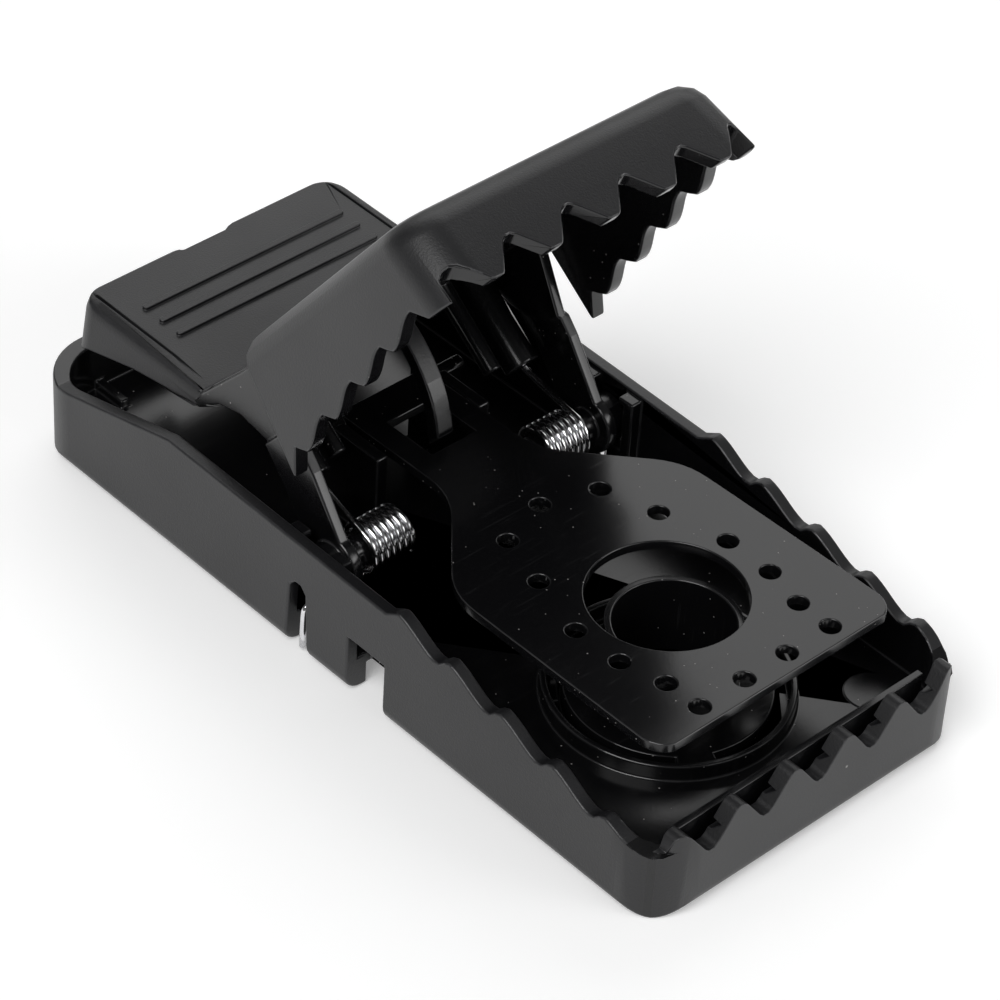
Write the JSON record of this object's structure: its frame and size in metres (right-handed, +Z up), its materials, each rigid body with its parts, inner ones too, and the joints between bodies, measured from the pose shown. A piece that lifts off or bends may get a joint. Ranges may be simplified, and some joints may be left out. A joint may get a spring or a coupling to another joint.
{
  "type": "snap mouse trap",
  "caption": "Clamshell snap mouse trap in its set position: toothed tray, sprung toothed jaw with press pad, trip pedal and bait cup.",
  "frame": {"origin": "middle of the tray's footprint, on the surface it rests on", "axes": "+Z up, -Y to the tray's toothed front where the mouse enters, +X to the right for someone in front of it looking along +Y"},
  "size_m": [0.047, 0.102, 0.0617],
  "materials": {
    "satin_black_plastic": "satin moulded plastic with a fine grain, edges polished by wear",
    "gloss_black_plastic": "glossy moulded plastic with faint scuffs",
    "spring_steel": "bright drawn spring wire"
  },
  "bodies": {
    "tray": {"base_tray": "satin_black_plastic", "spring_left": "spring_steel", "spring_right": "spring_steel"},
    "jaw": {"upper_jaw": "satin_black_plastic"},
    "pedal": {"trip_pedal": "gloss_black_plastic"},
    "cup": {"bait_cup": "gloss_black_plastic"}
  },
  "joints": [
    {"name": "jaw_swing", "type": "hinge", "parent": "tray", "child": "jaw", "pos_m": [0, 0.003, 0.011], "axis": [1, 0, 0], "range_deg": [-3, 68], "deforming": ["spring_left", "spring_right"]},
    {"name": "pedal_tilt", "type": "hinge", "parent": "tray", "child": "pedal", "pos_m": [0, 0.0168, 0.0146], "axis": [1, 0, 0], "range_deg": [0, 1.7]},
    {"name": "bait_cup_turn", "type": "hinge", "parent": "tray", "child": "cup", "pos_m": [0, -0.029, 0.005], "axis": [0, 0, 1], "range_deg": [0, 40]}
  ]
}
